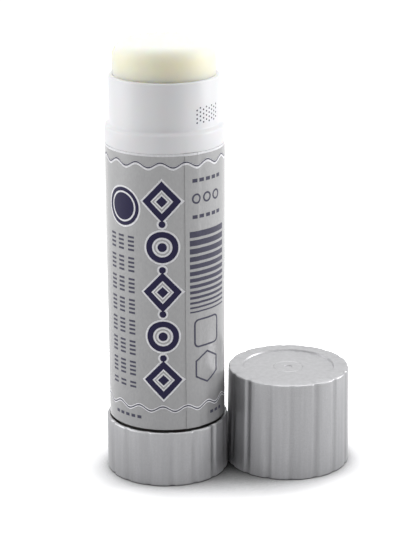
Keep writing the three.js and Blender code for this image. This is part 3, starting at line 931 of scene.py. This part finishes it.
class GLUESTICK_OT_glue(bpy.types.Operator):
    """Casts the cream glue column with its crowned top and the channels of the guide ribs"""

    bl_idname = "gluestick.glue"
    bl_label = "Glue"

    def execute(self, context):
        sizes = context.scene.glue_sizes
        radius, edge, crown = sizes.radius, sizes.edge, sizes.crown
        side_top = GLUE_TOP - edge - crown
        dome = [
            (radius - edge - (radius - edge) * share, GLUE_TOP - crown * (1 - share) ** 2)
            for share in GLUE_DOME_STEPS
        ]
        waist = GLUE_SHOULDER - GLUE_WAIST_HEIGHT
        outline = [
            (0, GLUE_CORE_TOP),
            (GLUE_CORE_RADIUS, GLUE_CORE_TOP - GLUE_CORE_EDGE),
            (GLUE_CORE_RADIUS, GLUE_FOOT),
            (GLUE_PLUG_RADIUS, GLUE_FOOT),
            (GLUE_PLUG_RADIUS, waist - GLUE_WAIST_SLOPE),
            (GLUE_WAIST_RADIUS, waist),
            (GLUE_WAIST_RADIUS, GLUE_SHOULDER),
            (radius - GLUE_FOOT_EDGE, GLUE_SHOULDER),
            (radius, GLUE_SHOULDER + GLUE_FOOT_EDGE),
            (radius, side_top - GLUE_SIDE_LOOP),
            *corner((radius - edge, side_top), edge, 0, 90, 8),
            *dome,
        ]
        glue = turned("glue_column", outline)
        channel = block(
            "channel",
            (CHANNEL_FLOOR_RADIUS, -CHANNEL_WIDTH / 2, GLUE_SHOULDER - MM),
            (radius + 2 * MM, CHANNEL_WIDTH / 2, GLUE_TOP + MM),
            CHANNEL_EDGE,
        )
        for cutter in ring(channel, GUIDE_AZIMUTHS):
            apply_modifier(glue, "BOOLEAN", operation="DIFFERENCE", object=cutter, solver="EXACT")
            bpy.data.objects.remove(cutter)
        smooth(glue)
        dress(glue, "carrier", cast_glue(context.scene.finishes))
        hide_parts("glue")
        return {"FINISHED"}


class GLUESTICK_OT_cap(bpy.types.Operator):
    """Moulds the drafted, grooved cap with its recessed top, snap bead and stop ribs"""

    bl_idname = "gluestick.cap"
    bl_label = "Cap"

    def execute(self, context):
        sizes = context.scene.cap_sizes
        mouth, edge, recess = sizes.mouth_radius, sizes.edge, sizes.recess_depth
        height = CAP_HIGH.z - CAP_LOW.z
        slope = math.tan(CAP_CORE_DRAFT)
        foot = mouth + CAP_WALL
        top = foot - height * math.tan(CAP_DRAFT)
        ceiling = height - recess - CAP_TOP_WALL
        pool = top - CAP_RIM_WIDTH
        floor = height - recess
        bead_low, bead_high = (CAP_BEAD_HEIGHT + s * CAP_BEAD_WIDTH / 2 for s in (-1, 1))
        bead = mouth - CAP_BEAD_HEIGHT * slope - CAP_BEAD_DEPTH
        core = mouth - ceiling * slope
        outline = [
            (0, ceiling),
            (core - CAP_CEILING_EDGE, ceiling),
            (core, ceiling - CAP_CEILING_EDGE),
            (mouth - bead_high * slope, bead_high),
            (bead, CAP_BEAD_HEIGHT),
            (mouth - bead_low * slope, bead_low),
            (mouth - CAP_LEAD_IN * slope, CAP_LEAD_IN),
            (mouth + CAP_LEAD_IN, 0),
            *corner((foot - CAP_FOOT_EDGE, CAP_FOOT_EDGE), CAP_FOOT_EDGE, -90, 0),
            *corner((top - edge, height - edge), edge, 0, 90),
            (pool + RECESS_EDGE, height),
            (pool, height - RECESS_EDGE),
            (pool - RECESS_DRAFT, floor + EDGE_BREAK),
            (pool - RECESS_DRAFT - EDGE_BREAK, floor),
            (GATE_RING_RADIUS + GATE_RING_WIDTH, floor),
            (GATE_RING_RADIUS, floor - GATE_RING_DEPTH),
            (GATE_RING_RADIUS - GATE_RING_WIDTH, floor),
            (GATE_RADIUS, floor),
            (GATE_RADIUS - GATE_SLOPE, floor - GATE_DEPTH),
            (GATE_DEPTH, floor - GATE_DEPTH),
            (0, floor - GATE_DEPTH + EDGE_BREAK),
        ]
        cup = turned("cap_moulding", outline, GROOVE_COUNT * GROOVE_PITCH_STEPS)
        wall = mouth + 0.45 * MM
        press_grooves(cup, sizes.groove_depth, wall, foot, CAP_GROOVE_DARKENING)
        rib = block(
            "rib",
            (core - CAP_RIB_DEPTH, -CAP_RIB_THICKNESS / 2, CAP_RIB_FOOT),
            (core + CAP_RIB_SINK, CAP_RIB_THICKNESS / 2, ceiling + SINK),
            CAP_RIB_EDGE,
        )
        # Halfway between two grooves, so that each rib has the full wall behind it
        ribs = ring(rib, [(i + 0.25) * FULL_TURN / CAP_RIB_COUNT for i in range(CAP_RIB_COUNT)])
        cap = join("cap_moulding", [cup, *ribs])
        move_mesh(cap, (CAP_AXIS.x, CAP_AXIS.y, CAP_LOW.z))
        smooth(cap)
        dress(cap, "cap", silver_polypropylene(context.scene.finishes))
        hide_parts("cap")
        return {"FINISHED"}


class GLUESTICK_OT_label(bpy.types.Operator):
    """Wraps the silver film once round the barrel, with its end lapped over its start"""

    bl_idname = "gluestick.label"
    bl_label = "Label film"

    def execute(self, context):
        sizes = context.scene.label_sizes
        radius = context.scene.barrel_sizes.body_radius
        foot = LABEL_FOOT - LABEL_LOW_EDGE
        lap, rise = sizes.lap / radius, LAP_RISE_LENGTH / radius
        seam = sizes.seam - math.pi / 2
        # The visible end is drawn first, as a sheet of columns, and lifted on to the lap
        label = draw_outline("label_film", [(radius, foot), (radius, LABEL_TOP)])
        edit(label)
        steps = math.ceil(lap / LABEL_COLUMN_ANGLE)
        bpy.ops.mesh.spin(steps=steps, angle=-lap, center=(0, 0, 0), axis=(0, 0, 1))
        select_mesh()
        lifted = (radius + LAP_LIFT) / radius
        stretch((lifted, lifted, 1))
        for share in LAP_FALL:
            self.draw_on(label, rise / len(LAP_FALL), 1)
            fall = (radius + LAP_LIFT * share) / math.hypot(*self.last_column(label)[:2])
            stretch((fall, fall, 1))
        rest = FULL_TURN - rise
        self.draw_on(label, rest, math.ceil(rest / LABEL_COLUMN_ANGLE), use_auto_merge=False)
        leave_edit()
        label.matrix_world = Matrix.Rotation(seam, 4, "Z")
        fix_place(label)
        apply_modifier(label, "SOLIDIFY", thickness=sizes.film, offset=1)
        smooth(label)
        dress(label, "barrel", silver_film(context.scene.finishes))
        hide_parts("label")
        return {"FINISHED"}

    def draw_on(self, label, turn, steps, **settings):
        """Spins the film's last column further round the stick."""
        far = self.last_column(label)
        last = math.atan2(far.y, far.x)
        choose(label, lambda p: abs(math.atan2(p.y, p.x) - last) < 1e-4)
        bpy.ops.mesh.spin(
            steps=steps, angle=-turn, center=(0, 0, 0), axis=(0, 0, 1), **settings
        )

    def last_column(self, label):
        """A vertex of the column that the film has reached, furthest round from its end."""
        leave_edit()
        far = max((v.co.copy() for v in label.data.vertices), key=lambda p: math.atan2(p.y, p.x))
        enter_edit()
        return far


class GLUESTICK_OT_print(bpy.types.Operator):
    """Prints the label: wavy borders, a chain of lozenges and discs, rules and plain frames, and a
    white line under the collar that is a painted highlight
    """

    bl_idname = "gluestick.print"
    bl_label = "Label print"

    def execute(self, context):
        sizes = context.scene.label_sizes
        colours = context.scene.finishes
        radius = context.scene.barrel_sizes.body_radius
        label = bpy.data.objects["label_film"]
        layers = {
            "print_white": (self.white_layer(sizes), colours.white_ink, 0.6),
            "print_navy": (self.navy_layer(), colours.navy_ink, 1.0),
            "print_slate": (self.slate_layer(sizes), colours.slate_ink, 1.0),
        }
        for name, (motifs, colour, level) in layers.items():
            sheet = join(name, motifs)
            wrap_on_label(sheet, label, radius, sizes.ink * level, sizes.ink)
            dress(sheet, "barrel", printing_ink(name + "_flexographic", colour))
        return {"FINISHED"}

    def chain(self, grow):
        """The upright chain's motifs, with their outlines grown for the white halo."""
        lozenges = [(-0.9, 65.4), (-0.9, 45.2), (-0.9, 25.0)]
        discs = [(-0.9, 55.3), (-0.9, 35.1)]
        beads = [(-0.9, 60.4), (-0.9, 50.2), (-0.9, 40.2), (-0.9, 30.1)]
        hole = 2.5 * MM - grow

        def at(places):
            front = [(across * MM, up * MM) for across, up in places]
            return front + [(across + math.pi * BODY_RADIUS, up) for across, up in front]

        return [
            *stamped(
                flat_disc("lozenge", 4.3 * MM + 1.3 * grow, hole, 4, 0.98, 1.05), at(lozenges)
            ),
            *stamped(flat_disc("disc", 3.5 * MM + grow, 2.2 * MM - grow), at(discs)),
            *stamped(flat_disc("bead", 0.75 * MM + grow, 0, 20), at(beads)),
            *stamped(flat_disc("stone", 1.25 * MM + grow, 0, 4), at(lozenges)),
            *stamped(flat_disc("pip", 1.0 * MM + grow, 0, 24), at(discs)),
        ]

    def white_layer(self, sizes):
        line = 0.8 * MM
        radius = bpy.context.scene.barrel_sizes.body_radius
        # A white line along the film's top, just under the collar: a painted highlight, for the
        # light caught at the collar's lower lip
        edge = flat_bar("edge", FULL_TURN * radius * 0.999, 0.5 * MM)
        return [
            *self.chain(0.42 * MM),
            *stamped(flat_disc("medallion", 4.6 * MM, 0, 48), [MEDALLION_PLACE]),
            *wavy_line(sizes, line, UPPER_WAVES),
            *wavy_line(sizes, line, LOWER_WAVES),
            *stamped(edge, [(0, LABEL_TOP - 0.26 * MM)]),
        ]

    def navy_layer(self):
        return [
            *self.chain(0.0),
            *stamped(flat_disc("medallion", 4.2 * MM, 3.4 * MM, 48), [MEDALLION_PLACE]),
            *stamped(flat_disc("medallion", 3.0 * MM, 0, 48), [MEDALLION_PLACE]),
        ]

    def slate_layer(self, sizes):
        columns = [
            (across * MM, (57.0 - 0.95 * i) * MM)
            for across in (-13.6, -10.9, -8.1)
            for i in range(37)
            if i % 5 != 4
        ]
        dashes = [(u * MM, z * MM) for z in (69.6, 61.6) for u in (6.4, 8.2, 10.0, 11.8, 13.6)]
        foot_dashes = [(u * MM, 15.9 * MM) for u in (-13, -11.4, -9.8, -8.2, -6.6, 11, 12.6, 14.2)]
        rings = [(u * MM, 65.6 * MM) for u in (6.8, 9.7, 12.6)]
        prints = [
            *wavy_line(sizes, 0.3 * MM, UPPER_WAVES + 0.2 * MM),
            *wavy_line(sizes, 0.3 * MM, LOWER_WAVES),
            *stamped(flat_bar("tick", 1.6 * MM, 0.46 * MM), columns),
            *stamped(flat_bar("dash", 1.2 * MM, 0.8 * MM), dashes),
            *stamped(flat_bar("foot_dash", 1.0 * MM, 0.7 * MM), foot_dashes),
            *stamped(flat_disc("ring", 1.15 * MM, 0.75 * MM, 24), rings),
            *stamped(flat_disc("hexagon", 3.8 * MM, 3.35 * MM, 6), [(9.6 * MM, 27.0 * MM)]),
        ]
        level = 58.4
        for i in range(13):
            height = 1.35 - 0.085 * i
            level -= height / 2
            stripe = flat_bar("stripe", 10.8 * MM, height * MM)
            prints += stamped(stripe, [(10.5 * MM, level * MM)])
            level -= height / 2 + 0.62
        empty = flat_bar("frame", 7.2 * MM, 6.6 * MM, 1.2 * MM, 0.4 * MM)
        return prints + stamped(empty, [(9.6 * MM, 35.2 * MM)])


class GLUESTICK_OT_dots(bpy.types.Operator):
    """Jets a small plain field of ink dots on the neck"""

    bl_idname = "gluestick.dots"
    bl_label = "Neck dots"

    def execute(self, context):
        radius = context.scene.barrel_sizes.neck_radius
        places = [
            (DOT_ACROSS + i * DOT_PITCH, DOT_UP + (j + (i % 2) / 2) * DOT_PITCH)
            for i in range(DOT_COLUMNS)
            for j in range(DOT_ROWS)
        ]
        field = join("neck_dots", stamped(flat_disc("dot", DOT_RADIUS, 0, 12), places))
        barrel = bpy.data.objects["barrel_moulding"]
        wrap_on_label(field, barrel, radius, DOT_THICKNESS, DOT_THICKNESS)
        ink = printing_ink("ink_jetted", context.scene.finishes.slate_ink)
        dress(field, "barrel", ink)
        return {"FINISHED"}


class GLUESTICK_OT_inner(bpy.types.Operator):
    """Gives the hidden spindle and carrier their plastic"""

    bl_idname = "gluestick.inner"
    bl_label = "Spindle and carrier"

    def execute(self, context):
        material = natural_polypropylene(context.scene.finishes)
        for name in ("spindle", "carrier"):
            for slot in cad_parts[name].material_slots:
                slot.material = material
        return {"FINISHED"}


class GLUESTICK_OT_stage(bpy.types.Operator):
    """Lays the paper, hangs the lamps and sets the camera"""

    bl_idname = "gluestick.stage"
    bl_label = "Stage"

    def execute(self, context):
        settings = context.scene.stage_settings
        floor = started("paper_floor", bpy.ops.mesh.primitive_plane_add, size=PAPER_WIDTH)
        floor.data.materials.append(paper_floor())
        for side, place in LAMPS.items():
            self.lamp(side + "_lamp", *place, getattr(settings, side + "_light"))
        self.surround(settings)
        self.camera()
        context.scene.view_settings.view_transform = "Standard"
        return {"FINISHED"}

    def lamp(self, name, azimuth, elevation, distance, size, power):
        """A square soft lamp, placed round the stick by its angles from the camera's side."""
        rise = math.radians(elevation)
        turn = Matrix.Rotation(math.radians(azimuth), 3, "Z")
        away = turn @ Vector((0, -math.cos(rise), math.sin(rise)))
        select_only()
        bpy.ops.object.light_add(
            type="AREA",
            location=LAMP_AIM + away * distance,
            rotation=away.to_track_quat("Z", "Y").to_euler(),
        )
        lamp = bpy.context.object
        lamp.name = name
        lamp.data.shape = "SQUARE"
        lamp.data.size = size
        lamp.data.energy = power

    def surround(self, settings):
        """White all round to the eye, and a weaker even light on the object."""
        world = bpy.data.worlds.new("white_surround")
        world.use_nodes = True
        tree = world.node_tree
        tree.nodes.clear()
        span = {"To Min": settings.surround, "To Max": 1.0}
        strength = add_node(tree, "MapRange", span, {"Value": looking(tree)})["Result"]
        light = add_node(tree, "Background", {"Color": (1, 1, 1, 1)}, {"Strength": strength})
        add_node(tree, "OutputWorld", {}, {"Surface": light["Background"]})
        bpy.context.scene.world = world

    def camera(self):
        """A long lens at the photograph's height, turned by pitch, yaw and roll."""
        yaw = Matrix.Rotation(-CAMERA_YAW, 3, "Z")
        pitch = Matrix.Rotation(math.pi / 2 - CAMERA_PITCH, 3, "X")
        turn = yaw @ pitch @ Matrix.Rotation(-CAMERA_ROLL, 3, "Z")
        bpy.ops.object.camera_add(location=CAMERA_EYE, rotation=turn.to_euler())
        camera = bpy.context.object
        camera.data.lens = CAMERA_LENS
        camera.data.sensor_width = CAMERA_SENSOR
        bpy.context.scene.camera = camera


class GLUESTICK_PT_panel(bpy.types.Panel):
    """Sizes, finishes and the steps that build the stick"""

    bl_label = "Glue Stick"
    bl_idname = "GLUESTICK_PT_panel"
    bl_space_type = "VIEW_3D"
    bl_region_type = "UI"
    bl_category = "Glue Stick"

    def draw(self, context):
        for name in GROUPS:
            box = self.layout.box()
            group = getattr(context.scene, name)
            for key in group.bl_rna.properties.keys():
                if key not in {"rna_type", "name"}:
                    box.prop(group, key)
        for step in STEPS:
            self.layout.operator(step.bl_idname)


GROUPS = {
    "barrel_sizes": BarrelSizes,
    "knob_sizes": KnobSizes,
    "glue_sizes": GlueSizes,
    "cap_sizes": CapSizes,
    "label_sizes": LabelSizes,
    "finishes": Finishes,
    "stage_settings": StageSettings,
}

STEPS = (
    GLUESTICK_OT_barrel,
    GLUESTICK_OT_label,
    GLUESTICK_OT_print,
    GLUESTICK_OT_dots,
    GLUESTICK_OT_knob,
    GLUESTICK_OT_glue,
    GLUESTICK_OT_cap,
    GLUESTICK_OT_inner,
    GLUESTICK_OT_stage,
)


def register():
    for kind in (*GROUPS.values(), *STEPS, GLUESTICK_PT_panel):
        bpy.utils.register_class(kind)
    for name, kind in GROUPS.items():
        setattr(bpy.types.Scene, name, PointerProperty(type=kind))


def unregister():
    for name in GROUPS:
        delattr(bpy.types.Scene, name)
    for kind in reversed((*GROUPS.values(), *STEPS, GLUESTICK_PT_panel)):
        bpy.utils.unregister_class(kind)


def main():
    register()
    bpy.ops.gluestick.barrel()
    bpy.ops.gluestick.label()
    bpy.ops.gluestick.print()
    bpy.ops.gluestick.dots()
    bpy.ops.gluestick.knob()
    bpy.ops.gluestick.glue()
    bpy.ops.gluestick.cap()
    bpy.ops.gluestick.inner()
    bpy.ops.gluestick.stage()


if __name__ == "__main__":
    main()
